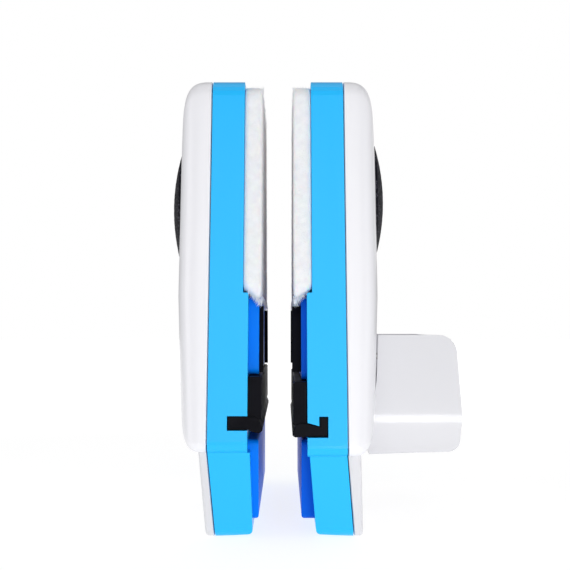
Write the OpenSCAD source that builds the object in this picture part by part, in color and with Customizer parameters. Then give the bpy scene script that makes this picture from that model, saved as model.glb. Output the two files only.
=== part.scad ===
// Magnetic glass cleaner: an outer and an inner half that hold each other through a pane.
// Origin: centre of the inner pad's face on the glass. +X runs out through the inner half,
// Y runs across the width and +Z runs up. The outer half mirrors the inner one across the pane.
// Each half is drawn by its height u above the pane's surface, and placed by on_side().

/* [Overall] */
// Thickness of the pane between the halves
glass_gap = 10; // [8:0.5:14]
// Width of the body across its shoulders
shoulder_w = 141.4; // [136:0.2:150]
// Width of the body across its top
top_w = 80; // [76:1:92]
// Height of the top edge above the pad's centre
top_z = 40.2; // [39:0.2:44]
// Depth of the chins' lower edge below the pad's centre
chin_depth = 120.8; // [119:0.2:124]

/* [Frame] */
// Height of the frame's face above the pane beside the blade
blade_face_u = 5.1; // [5:0.1:5.6]
// Height of the recessed face behind the pad
pad_face_u = 6.9; // [6.5:0.1:7.4]
// Height of the parting line between frame and shell
parting_u = 18.45; // [18:0.05:19]
// Thickness of the frame's walls and floor
frame_wall = 2.4; // [2:0.1:2.8]

/* [Shell] */
// Rise of the shell's rounded edge above the parting line
edge_rise = 9.8; // [8:0.1:11]
// Rise of the shell's crown above its rounded edge
crown_rise = 4.4; // [3.5:0.1:5]
// Thickness of the shell
shell_wall = 2.2; // [1.8:0.1:2.4]

/* [Grip dome] */
// Diameter of the rubber grip dome
dome_d = 48; // [40:1:50]
// Height of the grip dome's apex above the pane
dome_top_u = 36.4; // [35.5:0.1:38]

/* [Handle] */
// Width of the handle at its crease
handle_w = 80; // [76:1:88]
// Height of the handle's back above the pane
handle_u = 61.2; // [58:0.2:66]
// Thickness of the handle's legs
leg_t = 6; // [5:0.5:8]

/* [Hidden] */
$fn = 48;
OUTER = "outer";
INNER = "inner";
SIDES = [OUTER, INNER];
eps = 0.02;
// How far a cut or an outline runs on past the pieces that it crosses
past = 60;

// Colours
sky = [0.25, 0.75, 1.0];
deep_blue = [0.1, 0.35, 0.95];
white = [0.95, 0.95, 0.96];
fleece = [0.92, 0.9, 0.94];
black = [0.05, 0.05, 0.06];
steel = [0.62, 0.63, 0.65];

// Body outline: the straight sides widen from the top to the shoulder, above a narrower chin
shoulder_hw = shoulder_w / 2;
top_hw = top_w / 2;
shoulder_z = -91.6;
inner_step_drop = 1.3;
chin_top_hw = shoulder_hw - 3.3;
chin_hw = 63;
chin_z = -chin_depth;
chin_slope = 0.9;
// Both chins lean towards the handle's side, by this much at their top and at their bottom
lean_top = 0.8;
lean_bottom = 2.4;
top_r = 8;
shoulder_r = 3.2;
chin_r = 4;
chin_face_rise = 0.7;
chin_lap = 6;
shoulder_inset_share = 1.1;
// Edges of the frame's side profile
pad_face_edge_r = 0.8;
recess_edge_r = 0.6;
chin_foot_edge_r = 1.7;

// Pad, its hook strip and the recess behind them
pad_top_z = 36.8;
pad_bottom_z = -36.8;
strip_t = 1;
strip_inset = 4;
strip_gap = 0.1;
pad_inset = 0.6;
pad_top_r = 7;
pad_bottom_r = 2;
recess_end_z = -37.6;

// Blade channel, a solid rib across the frame
channel_top_z = -75;
channel_bottom_z = -94;
channel_u = 14.5;
channel_lap = 1.5;
slot_gap = 0.3;
slot_mouth_z = [-86.7, -79.2];
blade_short = 5;
// Heel, the part of the rubber that lies on the frame's face above the blade's root
heel_top_z = -66.2;
heel_bottom_z = -80.4;
heel_u = [0.4, 4.95];
heel_inset = 0.8;
heel_chamfer = 0.6;

// Raised beds above and below the blade
outer_bed_u = 1.5;
inner_bed_u = 3.2;
bed_inset = 8;
upper_bed_top_z = -38.6;
upper_bed_end_z = -65.8;
inner_bed_drop = 1.8;
lower_bed_z = [-115.6, -88];
lower_bed_inset = [6, 7];
bed_corner_r = 2;
bed_top_edge_r = 0.8;
upper_bed_foot_r = 0.4;
lower_bed_foot_r = 1.3;
peg_r = 1.8;
peg_gap = 0.05;
peg_end_gap = 0.4;
peg_root = 1;
peg_end_u = 8.6;
upper_pegs = [[40, -46], [24, -60]];
lower_pegs = [[54, -99], [24, -104]];

// Side lips, thin rubber strips beside the upper bed's ends
lip_z = [-65.2, -42];
lip_t = 1.4;
lip_root = 2;
lip_gap = 0.1;
lip_from_end = 6;
lip_floor_t = 0.6;
lip_clear_u = 0.05;

// Magnets in their frame pockets, with the yoke plate behind them
magnet_r = 10.8;
magnet_t = 10;
magnet_gap = 0.05;
magnet_places = [[15, 15.5], [15, -15.5]];
pocket_gap = 0.35;
pocket_wall = 1.4;
pocket_foot_u = 9;
pocket_u = 14;
yoke_half = [27.5, 28];
yoke_t = 2.5;
yoke_r = 6;

// Case screws and their bosses, as places to one side of the middle
screw_places = [[33, 30], [50, -61.5], [44, -104]];
boss_r = 3.6;
boss_foot_r = 4.4;
boss_foot_u = 7.4;
boss_split_u = 11.4;
boss_gap = 0.1;
// Where the two upper shell bosses meet the dome, and how far the chin's boss passes its screw
boss_root_u = [27.6, 28.8];
boss_past_screw = 0.8;
pilot_past_screw = 0.5;
head_r = 2.6;
head_t = 1.6;
head_hole_r = 2.9;
head_depth = 2;
head_sink = 0.35;
head_gap = 0.1;
shank_r = 1.25;
shank_hole_r = 1.6;
pilot_r = 1.32;
shank_end_u = 20.2;
chin_screw_short = 1.2;
cross_w = 0.7;
cross_l = 3;
cross_t = 0.9;

// Shell rings: the dome's outline shrinks towards its centre as the surface rises
dome_centre_z = -38;
edge_share = 0.17;
edge_power = 3.4;
shoulder_drop = 2.4;
shell_gap = 0.35;
rim_scale = 0.966;
hollow_drop = 2;
grow_span = 60;
ring_steps = [0, 0.02, 0.07, 0.16, 0.3, 0.5, 0.74, 1];
crown_steps = [0.7, 0.56, 0.42, 0.28, 0.14];
chin_shell_t = 3.6;
chin_plate_lap = 4;
chin_plate_edge = 1.2;
chin_plate_edge_rise = 1;
lip_ring_u = 15.8;
lip_ring_inset = 2.7;
lip_ring_t = 1.5;
lip_ring_root = 1;
lip_ring_opening = [110, 12];

// Grip dome, a spherical cap glued in a shallow seat
dome_z = -1;
outer_dome_drop = 3;
cap_r = 77;
cap_facets = 240;
seat_u = 30.6;
seat_floor_t = 2.2;
seat_floor_lap = 0.4;
seat_wall = 1.5;
seat_gap = 0.25;

// Cord eyelet, a bush right through the chin
eyelet_z = -110;
eyelet_bore_r = 2;
eyelet_r = 2.9;
eyelet_flange_r = 4.4;
eyelet_flange_t = 1.2;
eyelet_gap = 0.1;
eyelet_flange_gap = 0.05;
eyelet_nose = 0.4;
eyelet_boss_u = 8.6;
eyelet_boss_end_u = 17;
eyelet_land_u = 21.9;

// Handle: two legs and a back plate, with its sides creased near the bottom
handle_top_z = -52.3;
handle_bottom_z = -95.4;
crease_z = -82;
handle_top_hw = 36.2;
handle_bottom_hw = 39.2;
handle_taper = 1.5;
crease_r = 30;
handle_foot_gap = 0.45;
back_t = 6;
leg_root_u = 22;
leg_root_z = -86;
// The legs' lower corners by the shell, in u and Z
leg_foot = [[28, handle_bottom_z], [27, -91]];
handle_screws_z = [-60, -74];
handle_screw_in = 3.1;
handle_shank_end_u = 40;
handle_pilot_end_u = 41;
handle_head_u = 26.4;
handle_boss_end_u = 29.6;
handle_top_edge_r = 6.5;
handle_foot_edge_r = 4.4;
handle_crease_out = 0.4;
handle_foot_in = 0.6;
handle_foot_rise = 1;
handle_spread = 4;

// --- Values that differ between the halves ---

function lean_sign(side) = side == INNER ? 1 : -1;
function step_z(side) = shoulder_z - (side == INNER ? inner_step_drop : 0);
function bed_u(side) = side == INNER ? inner_bed_u : outer_bed_u;
function grip_z(side) = dome_z - (side == INNER ? 0 : outer_dome_drop);

// Share of the way down a chin's face, from its step to its foot, at a height
function chin_share(side, z) =
    max(0, min(1, (step_z(side) - z) / (step_z(side) - chin_z - chin_slope)));

// Lean of a chin at a height, along u
function lean(side, z) =
    lean_sign(side) * (lean_top + (lean_bottom - lean_top) * chin_share(side, z));

// Height of the frame's face above the pane, at a height on the body
function face_u(side, z) =
    z > recess_end_z ? pad_face_u
    : z > step_z(side) ? blade_face_u
    : blade_face_u + lean(side, z) + chin_face_rise * chin_share(side, z);

function upper_bed_z(side) = upper_bed_end_z - (side == INNER ? inner_bed_drop : 0);

// Height at which a case screw ends: the chin's screw follows its lean
function screw_end_u(side, z) =
    z > step_z(side) ? shank_end_u : shank_end_u - chin_screw_short + lean(side, z);

// --- Outlines ---

function unit(v) = v / norm(v);

// The corner at p between a and b, rounded by an arc of radius r in n steps
function round_corner(a, p, b, r, n = 6) =
    let (
        to_a = unit(a - p),
        to_b = unit(b - p),
        half = acos(to_a * to_b) / 2,
        centre = p + unit(to_a + to_b) * r / sin(half),
        from_arm = p + to_a * r / tan(half) - centre,
        to_arm = p + to_b * r / tan(half) - centre,
        sweep = 180 - 2 * half
    )
    [for (i = [0 : n]) centre
        + (from_arm * sin(sweep * (1 - i / n)) + to_arm * sin(sweep * i / n)) / sin(sweep)];

// A closed outline of [x, y, radius] corners, with each corner that has a radius rounded
function rounded(corners, n = 6) =
    let (count = len(corners), at = [for (c = corners) [c[0], c[1]]])
    [for (i = [0 : count - 1]) each corners[i][2] == 0
        ? [at[i]]
        : round_corner(at[(i + count - 1) % count], at[i], at[(i + 1) % count], corners[i][2], n)];

// Corners on the +Y side, repeated on the -Y side
function both_sides(right) =
    concat(right, [for (i = [len(right) - 1 : -1 : 0]) [-right[i][0], right[i][1], right[i][2]]]);

// Half-width of the straight sides at a height
function side_hw(z) = top_hw + (shoulder_hw - top_hw) * (top_z - z) / (top_z - shoulder_z);

function body_corners(side, inset) = both_sides([
    [top_hw - inset, top_z - inset, top_r - inset],
    [shoulder_hw - inset * shoulder_inset_share, step_z(side) + inset, shoulder_r]
]);

function chin_corners(side, inset) = both_sides([
    [chin_top_hw - inset, step_z(side) + chin_lap, 0],
    [chin_top_hw - inset, step_z(side), 0],
    [chin_hw - inset, chin_z + inset, chin_r - inset]
]);

module body_outline(side, inset = 0) polygon(rounded(body_corners(side, inset)));
module chin_outline(side, inset = 0) polygon(rounded(chin_corners(side, inset)));

// --- Placing ---

// Draws a half's piece: u runs out from the pane along +X inside and along -X outside
module on_side(side) {
    if (side == INNER) children();
    else translate([-glass_gap, 0, 0]) mirror([1, 0, 0]) children();
}

// A flat shape in Y and Z, extruded from u0 to u1
module out_from(u0, u1) translate([u0, 0, 0]) rotate([90, 0, 90]) linear_extrude(u1 - u0) children();

// A flat shape in u and Z, extruded across the width w
module across(w) translate([0, w / 2, 0]) rotate([90, 0, 0]) linear_extrude(w) children();

// A round bar along u, at a place in Y and Z
module bar(place, r, u0, u1)
    translate([u0, place[0], place[1]]) rotate([0, 90, 0]) cylinder(h = u1 - u0, r = r);

module on_both_sides() {
    children();
    mirror([0, 1, 0]) children();
}

// --- Frame ---

// Side profile of the frame, in u and Z, with the chin leaning
module frame_profile(side) {
    s = lean_sign(side);
    polygon(rounded([
        [parting_u, top_z, 0],
        [pad_face_u, top_z, pad_face_edge_r],
        [pad_face_u, recess_end_z, 0],
        [blade_face_u, recess_end_z, recess_edge_r],
        [blade_face_u, step_z(side) + eps, 0],
        [face_u(side, step_z(side) - eps), step_z(side) - eps, 0],
        [face_u(side, chin_z), chin_z + chin_slope, chin_foot_edge_r],
        [parting_u + s * lean_bottom, chin_z, 0],
        [parting_u, step_z(side), 0]
    ], 5));
}

// Profile of the blade slot or of the blade: the outer root is a bar, the inner one a hook
module blade_profile(side, gap = 0) {
    if (side == OUTER) polygon([
        [11.6 + gap, -79.6 + gap],
        [11.6 + gap, -83.8 - gap],
        [4.8, -83.8 - gap],
        [3.4, -84.6 - gap],
        [0.9, -84.9 - gap],
        [0.05, -84.2 - gap],
        [0.05, -83.2 + gap],
        [1.3, -80.3 + gap],
        [3, -79.6 + gap]
    ]);
    else polygon([
        [11.75 + gap, -79.8 + gap],
        [9.3 - gap, -79.8 + gap],
        [9.3 - gap, -82.9 + gap],
        [5.4, -81.9 + gap],
        [3, -81.6 + gap],
        [1.3, -82.3 + gap],
        [0.05, -85 + gap],
        [0.05, -85.8 - gap],
        [0.9, -86.4 - gap],
        [5, -86.15 - gap],
        [11.75 + gap, -86.15 - gap]
    ]);
}

module blade_slot(side) {
    across(2 * shoulder_w) blade_profile(side, slot_gap);
    // mouth of the slot, clear of the blade towards the pane
    across(2 * shoulder_w) polygon([
        [-past, slot_mouth_z[1]],
        [blade_face_u + eps, slot_mouth_z[1]],
        [blade_face_u + eps, slot_mouth_z[0]],
        [-past, slot_mouth_z[0]]
    ]);
}

module frame_solid(side) {
    intersection() {
        across(2 * shoulder_w) frame_profile(side);
        union() {
            out_from(0, past) body_outline(side);
            out_from(0, past) chin_outline(side);
        }
    }
}

module frame_hollow(side) {
    w = 2 * shoulder_w;
    channel_h = channel_top_z - channel_bottom_z + 2 * channel_lap;
    out_from(pad_face_u + frame_wall, past) intersection() {
        body_outline(side, frame_wall);
        translate([-w / 2, channel_top_z]) square(w);
    }
    out_from(channel_u, past) intersection() {
        body_outline(side, frame_wall);
        translate([0, (channel_top_z + channel_bottom_z) / 2]) square([w, channel_h], center = true);
    }
    out_from(blade_face_u + lean_bottom + frame_wall, past) intersection() {
        chin_outline(side, frame_wall);
        translate([-w / 2, channel_bottom_z - w]) square(w);
    }
}

module base_frame(side) {
    color(sky) on_side(side) difference() {
        union() {
            difference() {
                frame_solid(side);
                frame_hollow(side);
            }
            on_both_sides() for (place = screw_places) bar(place, boss_foot_r, boss_foot_u, boss_split_u);
            on_both_sides() for (place = magnet_places)
                bar(place, magnet_r + pocket_gap + pocket_wall, pocket_foot_u, pocket_u);
            bar([0, eyelet_z], eyelet_flange_r, eyelet_boss_u, eyelet_boss_end_u);
        }
        blade_slot(side);
        on_both_sides() for (place = magnet_places)
            bar(place, magnet_r + pocket_gap, pad_face_u + frame_wall, past);
        on_both_sides() for (place = screw_places) {
            bar(place, shank_hole_r, 0, past);
            bar(place, head_hole_r, 0, face_u(side, place[1]) + head_depth);
        }
        on_both_sides() for (place = concat(upper_pegs, lower_pegs))
            bar(place, peg_r + peg_gap, 0, peg_end_u + peg_end_gap);
        bar([0, eyelet_z], eyelet_r + eyelet_gap, 0, past);
    }
}

// --- Shell ---

// Share of the edge's rise on the ring at scale s, as a squarish arc
function edge_lift(s) =
    let (e = min(1, (1 - s) / edge_share)) pow(1 - pow(1 - e, edge_power), 1 / edge_power);

// How far the shell's edge sinks towards the shoulder, at a height on its outline
function edge_drop(side, z) =
    shoulder_drop * max(0, (dome_centre_z - z) / (dome_centre_z - step_z(side)));

// Body outline with one more corner on its straight side, where the edge starts to sink
function dome_corners(side) =
    let (share = (top_z - dome_centre_z) / (top_z - step_z(side)))
    both_sides([
        [top_hw, top_z, top_r],
        [top_hw + (shoulder_hw - top_hw) * share, dome_centre_z, 0],
        [shoulder_hw, step_z(side), shoulder_r]
    ]);

// The dome's solid: rings of the body outline, shrinking towards the centre
module dome_solid(side, u0, rise, crown, reach) {
    outline = rounded(dome_corners(side), 7);
    count = len(outline);
    scales = concat([for (e = ring_steps) 1 - edge_share * e], crown_steps);
    rings = [for (s = scales) [for (p = outline) [
        u0 + (rise - edge_drop(side, p[1]) * s) * edge_lift(s) + crown * (1 - s * s),
        p[0] * s * reach,
        dome_centre_z + (p[1] - dome_centre_z) * s * reach
    ]]];
    last = len(scales) - 1;
    points = concat([for (ring = rings) each ring], [
        [u0, 0, dome_centre_z],
        [u0 + rise + crown, 0, dome_centre_z]
    ]);
    foot = count * (last + 1);
    faces = concat(
        [for (j = [0 : last - 1]) for (i = [0 : count - 1])
            let (k = (i + 1) % count) each [
                [j * count + i, j * count + k, (j + 1) * count + k],
                [j * count + i, (j + 1) * count + k, (j + 1) * count + i]
            ]],
        [for (i = [0 : count - 1]) [foot, (i + 1) % count, i]],
        [for (i = [0 : count - 1]) [foot + 1, last * count + i, last * count + (i + 1) % count]]
    );
    polyhedron(points, faces);
}

// Outer surface of the shell's dome, pushed out by grow where another piece has to clear it
module shell_dome(side, grow = 0)
    dome_solid(side, parting_u + shell_gap, edge_rise + grow, crown_rise, 1 + grow / grow_span);

module shell_hollow(side)
    dome_solid(side, parting_u - hollow_drop, edge_rise + hollow_drop + shell_gap - shell_wall,
        crown_rise, rim_scale);

// Side profile of the shell's thin plate over the chin
module chin_plate_profile(side) {
    s = lean_sign(side);
    foot = parting_u + shell_gap;
    skin = foot + chin_shell_t;
    polygon([
        [foot, step_z(side) + chin_plate_lap],
        [foot, step_z(side)],
        [foot + s * lean_bottom, chin_z],
        [skin - chin_plate_edge + s * lean_bottom, chin_z],
        [skin - chin_plate_edge / 2 + s * lean_bottom, chin_z + chin_plate_edge_rise],
        [skin + s * lean_top, step_z(side) - chin_plate_edge_rise],
        [skin + s * lean_top, step_z(side) + chin_plate_lap]
    ]);
}

module locating_rim(side) {
    root_u = parting_u + shell_gap;
    difference() {
        union() {
            out_from(lip_ring_u, root_u + lip_ring_root) body_outline(side, lip_ring_inset);
            out_from(root_u, root_u + lip_ring_root)
                body_outline(side, lip_ring_inset - lip_ring_root);
        }
        out_from(0, past) body_outline(side, lip_ring_inset + lip_ring_t);
        // open above the chin, where the plate carries on
        out_from(0, past) translate([0, step_z(side)]) square(lip_ring_opening, center = true);
    }
}

module shell(side) {
    color(white) on_side(side) difference() {
        union() {
            difference() {
                union() {
                    shell_dome(side);
                    intersection() {
                        across(2 * shoulder_w) chin_plate_profile(side);
                        out_from(0, past) chin_outline(side);
                    }
                }
                shell_hollow(side);
            }
            locating_rim(side);
            bar([0, grip_z(side)], dome_d / 2 + seat_wall, seat_u - seat_floor_t,
                seat_u + seat_floor_lap);
            on_both_sides() {
                bar(screw_places[0], boss_r, boss_split_u + boss_gap, boss_root_u[0]);
                bar(screw_places[1], boss_r, boss_split_u + boss_gap, boss_root_u[1]);
                bar(screw_places[2], boss_r, boss_split_u + boss_gap,
                    screw_end_u(side, screw_places[2][1]) + boss_past_screw);
            }
            if (side == INNER) on_both_sides() for (z = handle_screws_z)
                bar([handle_hw(z) - handle_screw_in, z], boss_foot_r,
                    handle_head(z) + head_t + head_gap, handle_boss_end_u - edge_drop(INNER, z));
        }
        bar([0, grip_z(side)], dome_d / 2 + seat_gap, seat_u, past);
        on_both_sides() for (place = screw_places)
            bar(place, pilot_r, boss_split_u, screw_end_u(side, place[1]) + pilot_past_screw);
        bar([0, eyelet_z], eyelet_r + eyelet_gap, 0, past);
        bar([0, eyelet_z], eyelet_flange_r + eyelet_gap, eyelet_land_u + lean(side, eyelet_z), past);
        if (side == INNER) on_both_sides() for (z = handle_screws_z)
            bar([handle_hw(z) - handle_screw_in, z], shank_hole_r, parting_u, past);
    }
}

// --- Grip dome ---

module grip_dome(side) {
    color(black) on_side(side) intersection() {
        translate([dome_top_u - cap_r, 0, grip_z(side)]) sphere(r = cap_r, $fn = cap_facets);
        bar([0, grip_z(side)], dome_d / 2, seat_u + eps, past);
    }
}

// --- Pad and hook strip ---

module pad_shape(inset) polygon(rounded(both_sides([
    [side_hw(pad_top_z) - inset, pad_top_z - inset / 2, pad_top_r],
    [side_hw(pad_bottom_z) - inset, pad_bottom_z + inset / 2, pad_bottom_r]
])));

// The pad wraps round the edge of its hook strip
module pad(side) {
    color(fleece) on_side(side) difference() {
        out_from(0, pad_face_u) pad_shape(pad_inset);
        out_from(pad_face_u - strip_t, past) pad_shape(strip_inset - strip_gap);
    }
}

module hook_strip(side) {
    color(black) on_side(side) out_from(pad_face_u - strip_t, pad_face_u) pad_shape(strip_inset);
}

// --- Blade beds, blade and side lips ---

// Plate with slanted ends, standing from the frame's face towards the pane
module bed_plate(side, z_range, low_r, hw_low, hw_high) {
    intersection() {
        out_from(0, past) polygon(rounded(both_sides([
            [hw_high, z_range[1], bed_corner_r],
            [hw_low, z_range[0], bed_corner_r]
        ])));
        across(2 * shoulder_w) polygon(rounded(concat([
            [blade_face_u, z_range[1], 0],
            [bed_u(side), z_range[1], bed_top_edge_r],
            [bed_u(side), z_range[0], low_r],
            [face_u(side, z_range[0]), z_range[0], 0]
        ], z_range[0] > step_z(side) ? [] : [
            [face_u(side, step_z(side) - eps), step_z(side) - eps, 0],
            [blade_face_u, step_z(side) + eps, 0]
        ])));
    }
}

module pegs(side, places)
    on_both_sides() for (place = places) bar(place, peg_r, bed_u(side) + peg_root, peg_end_u);

function lip_y(z) = side_hw(z) - bed_inset - lip_from_end;
function lip_root_u(side) = min(bed_u(side) + lip_root, blade_face_u - lip_floor_t);

// One side lip's line in Y and Z, parallel to the body's slanted side
module lip_line(t, ends) polygon([
    [lip_y(lip_z[1] + ends) - t, lip_z[1] + ends],
    [lip_y(lip_z[1] + ends), lip_z[1] + ends],
    [lip_y(lip_z[0] - ends), lip_z[0] - ends],
    [lip_y(lip_z[0] - ends) - t, lip_z[0] - ends]
]);

module upper_bed(side) {
    low_z = upper_bed_z(side);
    color(deep_blue) on_side(side) difference() {
        union() {
            bed_plate(side, [low_z, upper_bed_top_z], upper_bed_foot_r,
                side_hw(low_z) - bed_inset, side_hw(upper_bed_top_z) - bed_inset);
            pegs(side, upper_pegs);
        }
        on_both_sides() translate([0, lip_gap, 0])
            out_from(-past, lip_root_u(side) + lip_gap) lip_line(lip_t + 2 * lip_gap, lip_gap);
    }
}

module lower_bed(side) {
    color(deep_blue) on_side(side) difference() {
        union() {
            bed_plate(side, lower_bed_z, lower_bed_foot_r,
                chin_hw - lower_bed_inset[0], chin_top_hw - lower_bed_inset[1]);
            pegs(side, lower_pegs);
        }
        bar([0, eyelet_z], eyelet_r + eyelet_gap, -past, past);
    }
}

// Heel's profile in u and Z, lower on the inner half, as its blade's root is
module heel_profile(side) {
    drop = side == INNER ? inner_bed_drop : 0;
    polygon([
        [heel_u[0], heel_bottom_z - drop],
        [heel_u[1], heel_bottom_z - drop],
        [heel_u[1], heel_top_z - drop],
        [heel_u[0] + heel_chamfer, heel_top_z - drop],
        [heel_u[0], heel_top_z - drop - heel_chamfer]
    ]);
}

module main_blade(side) {
    color(black) on_side(side) {
        across(shoulder_w - blade_short) blade_profile(side);
        intersection() {
            across(shoulder_w) heel_profile(side);
            out_from(0, blade_face_u) body_outline(side, heel_inset);
        }
    }
}

module side_lips(side) {
    color(black) on_side(side) on_both_sides()
        out_from(lip_clear_u, lip_root_u(side)) lip_line(lip_t, 0);
}

// --- Magnets and yoke ---

module magnets(side) {
    u0 = pad_face_u + frame_wall + magnet_gap;
    color(steel) on_side(side) on_both_sides() for (place = magnet_places)
        bar(place, magnet_r, u0, u0 + magnet_t);
}

module yoke_plate(side) {
    u0 = pad_face_u + frame_wall + magnet_t + 2 * magnet_gap;
    color(steel) on_side(side) out_from(u0, u0 + yoke_t) polygon(rounded(both_sides([
        [yoke_half[0], yoke_half[1], yoke_r],
        [yoke_half[0], -yoke_half[1], yoke_r]
    ])));
}

// --- Eyelet and screws ---

module cord_eyelet(side) {
    land = eyelet_land_u + lean(side, eyelet_z);
    color(black) on_side(side) difference() {
        union() {
            bar([0, eyelet_z], eyelet_r, bed_u(side) + eyelet_nose, land + eyelet_flange_t);
            bar([0, eyelet_z], eyelet_flange_r, land + eyelet_flange_gap, land + eyelet_flange_t);
        }
        bar([0, eyelet_z], eyelet_bore_r, -past, past);
    }
}

// A pan-head screw along +u, with its cross recess
module screw(place, head_u, end_u) {
    difference() {
        union() {
            bar(place, head_r, head_u, head_u + head_t);
            bar(place, shank_r, head_u + head_t - eps, end_u);
        }
        for (turn = [0, 90]) translate([head_u, place[0], place[1]]) rotate([turn, 0, 0])
            cube([2 * cross_t, cross_l, cross_w], center = true);
    }
}

module case_screws(side) {
    color(steel) on_side(side) on_both_sides() for (place = screw_places)
        screw(place, face_u(side, place[1]) + head_sink, screw_end_u(side, place[1]));
}

// --- Handle ---

// Half-width of the handle at a height, widest at its crease
function handle_hw(z) = z > crease_z
    ? handle_top_hw + (handle_w / 2 - handle_top_hw) * (handle_top_z - z) / (handle_top_z - crease_z)
    : handle_w / 2 + (handle_bottom_hw - handle_w / 2) * (crease_z - z) / (crease_z - handle_bottom_z);

// Height of a handle screw's head, under the shell as it sinks towards the shoulder
function handle_head(z) = handle_head_u - edge_drop(INNER, z);

module handle_outline(inset) {
    spread = inset > 0 ? handle_spread : 0;
    polygon(rounded(both_sides([
        [handle_top_hw - inset, handle_top_z + spread, 0],
        [handle_w / 2 - inset, crease_z, crease_r],
        [handle_bottom_hw - inset, handle_bottom_z - spread, 0]
    ])));
}

module handle() {
    color(white) difference() {
        intersection() {
            across(2 * handle_w) polygon(rounded([
                [leg_root_u, handle_top_z, 0],
                [handle_u - handle_taper, handle_top_z, handle_top_edge_r],
                [handle_u + handle_crease_out, crease_z, 0],
                [handle_u - handle_foot_in, handle_bottom_z + handle_foot_rise, handle_foot_edge_r],
                [leg_foot[0][0], leg_foot[0][1], 0],
                [leg_foot[1][0], leg_foot[1][1], 0],
                [leg_root_u, leg_root_z, 0]
            ]));
            out_from(0, handle_u + past) handle_outline(0);
        }
        out_from(0, handle_u - back_t) handle_outline(leg_t);
        shell_dome(INNER, handle_foot_gap);
        on_both_sides() for (z = handle_screws_z)
            bar([handle_hw(z) - handle_screw_in, z], pilot_r, parting_u, handle_pilot_end_u);
    }
}

module handle_screws() {
    color(steel) on_both_sides() for (z = handle_screws_z)
        screw([handle_hw(z) - handle_screw_in, z], handle_head(z), handle_shank_end_u);
}

// --- Nodes ---

for (side = SIDES) {
    base_frame(side);
    shell(side);
    grip_dome(side);
    pad(side);
    hook_strip(side);
    upper_bed(side);
    lower_bed(side);
    main_blade(side);
    side_lips(side);
    magnets(side);
    yoke_plate(side);
    cord_eyelet(side);
    case_screws(side);
}
handle();
handle_screws();
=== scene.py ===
"""Looks of the magnetic glass cleaner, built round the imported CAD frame.

Axes: +X runs out through the inner half, Y across the width, +Z up. The origin is the centre of
the inner pad's face on the pane. u is a height above the pane's surface on either half.
"""

import math
import random

import bmesh
import bpy
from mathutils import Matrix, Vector, noise


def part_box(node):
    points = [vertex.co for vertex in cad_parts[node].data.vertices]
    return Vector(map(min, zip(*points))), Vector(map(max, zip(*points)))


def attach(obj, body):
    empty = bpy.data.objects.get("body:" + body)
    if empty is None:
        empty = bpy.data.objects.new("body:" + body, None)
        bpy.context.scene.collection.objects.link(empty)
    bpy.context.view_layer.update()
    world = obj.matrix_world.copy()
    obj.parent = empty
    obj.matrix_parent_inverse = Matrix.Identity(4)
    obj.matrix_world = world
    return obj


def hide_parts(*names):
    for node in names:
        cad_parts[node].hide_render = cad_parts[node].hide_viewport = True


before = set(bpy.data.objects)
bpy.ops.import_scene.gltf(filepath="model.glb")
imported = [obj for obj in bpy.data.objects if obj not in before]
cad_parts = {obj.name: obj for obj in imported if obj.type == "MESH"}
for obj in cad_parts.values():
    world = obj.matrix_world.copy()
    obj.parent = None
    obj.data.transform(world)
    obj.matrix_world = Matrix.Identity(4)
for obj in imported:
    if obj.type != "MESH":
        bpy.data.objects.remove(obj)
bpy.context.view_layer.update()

MM = 0.001
INNER, OUTER = "inner", "outer"
SIDES = (OUTER, INNER)

# ---------------------------------------------------------------- dimensions, from the frame

GAP = (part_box("inner_pad")[0][0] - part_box("outer_pad")[1][0]) / MM
TOP_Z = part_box("inner_base_frame")[1][2] / MM
CHIN_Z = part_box("inner_base_frame")[0][2] / MM

SHOULDER_HW, TOP_HW = 70.7, 40.0
SHOULDER_Z = {OUTER: -91.6, INNER: -92.9}
CHIN_TOP_HW, CHIN_HW = SHOULDER_HW - 3.3, 63.0
LEAN_TOP, LEAN_BOTTOM = 0.8, 2.4
TOP_R, SHOULDER_R, CHIN_R = 8.0, 3.2, 4.0

PARTING_U, SHELL_GAP, SHELL_WALL = 18.45, 0.35, 2.2
EDGE_RISE, CROWN_RISE, EDGE_SHARE, EDGE_POWER = 9.8, 4.4, 0.17, 3.4
SHOULDER_DROP = 2.4
RIM_INSET, RIM_T, RIM_U = 2.5, 1.5, 15.8
RIM_LAP, RIM_SHOULDER_SHARE, RIM_SHOULDER_R = 1.0, 1.1, 0.6
DOME_CENTRE_Z = -38.0
CHIN_SHELL_T, CHIN_THINS = 3.6, 0.6
CHIN_LAP, CHIN_EDGE_R, CHIN_FOOT_EDGE = 4.0, 1.3, 0.3

GRIPS = {side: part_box(f"{side}_grip_dome") for side in SIDES}
GRIP_R = (GRIPS[INNER][1][1] - GRIPS[INNER][0][1]) / 2 / MM
GRIP_Z = {side: (low[2] + high[2]) / 2 / MM for side, (low, high) in GRIPS.items()}
GRIP_TOP_U = GRIPS[INNER][1][0] / MM
GRIP_CAP_R, GRIP_ROLL = 77.0, 0.8
SEAT_U, SEAT_GAP, SEAT_CUT_U = 30.6, 0.25, 45.0

PAD_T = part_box("inner_pad")[1][0] / MM
PAD_TOP_Z, PAD_BOTTOM_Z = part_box("inner_pad")[1][2] / MM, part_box("inner_pad")[0][2] / MM
PAD_INSET, PAD_TOP_R, PAD_BOTTOM_R = 0.6, 7.0, 2.0
STRIP_INSET, STRIP_T, STRIP_LAP, BACK_GAP = 4.0, 1.0, 0.2, 0.05
BED_U, BED_INSET = {OUTER: 1.5, INNER: 3.2}, 8.0


def place(side, u, y, z):
    """A point of a half, in metres, from its height above the pane, its width and its height."""
    x = u if side == INNER else -GAP - u
    return Vector((x * MM, y * MM, z * MM))


def side_hw(z):
    """Half-width of the body's straight sides at a height."""
    return TOP_HW + (SHOULDER_HW - TOP_HW) * (TOP_Z - z) / (TOP_Z - SHOULDER_Z[OUTER])


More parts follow.
